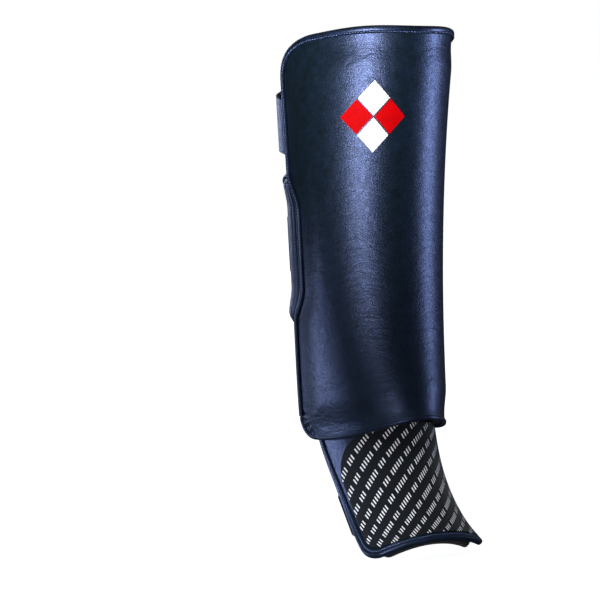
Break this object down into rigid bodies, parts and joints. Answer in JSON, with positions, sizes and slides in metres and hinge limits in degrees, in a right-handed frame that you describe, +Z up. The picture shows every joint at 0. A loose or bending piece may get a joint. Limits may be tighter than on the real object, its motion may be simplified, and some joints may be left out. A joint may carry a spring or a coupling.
{
  "type": "shin pad",
  "caption": "Right-leg shin and instep pad: dark navy leather shell over foam, bound edges, calf straps and an arched instep guard faced with patterned cloth.",
  "frame": {"origin": "mount leg: on the leg's axis in the middle of the calf hollow, half way up the shin shell", "axes": "+Z up along the leg to the knee; -Y forward to the toes; -X the outer side of a right leg, where the strap's end shows"},
  "size_m": [0.1442, 0.1964, 0.443],
  "materials": {
    "synthetic_leather": "semi-gloss grained",
    "binding_tape": "semi-gloss",
    "strap_leather": "semi-gloss",
    "printed_cloth": "matt woven, white printed ticks",
    "covered_foam": "matt brushed cloth over foam",
    "elastic_webbing": "ribbed woven elastic",
    "sewing_thread": "twisted polyester",
    "transfer_film": "satin heat-transfer film, white and red"
  },
  "bodies": {
    "root": {"shin_pad": "synthetic_leather", "edge_binding": "binding_tape", "hem_piping": "binding_tape", "calf_wing_left": "synthetic_leather", "calf_wing_right": "synthetic_leather", "upper_strap_anchor": "strap_leather", "upper_strap": "elastic_webbing", "lower_strap": "elastic_webbing", "instep_pad": "synthetic_leather", "instep_print_panel": "printed_cloth", "instep_padding": "covered_foam", "instep_binding": "binding_tape", "foot_strap": "elastic_webbing"}
  },
  "joints": []
}
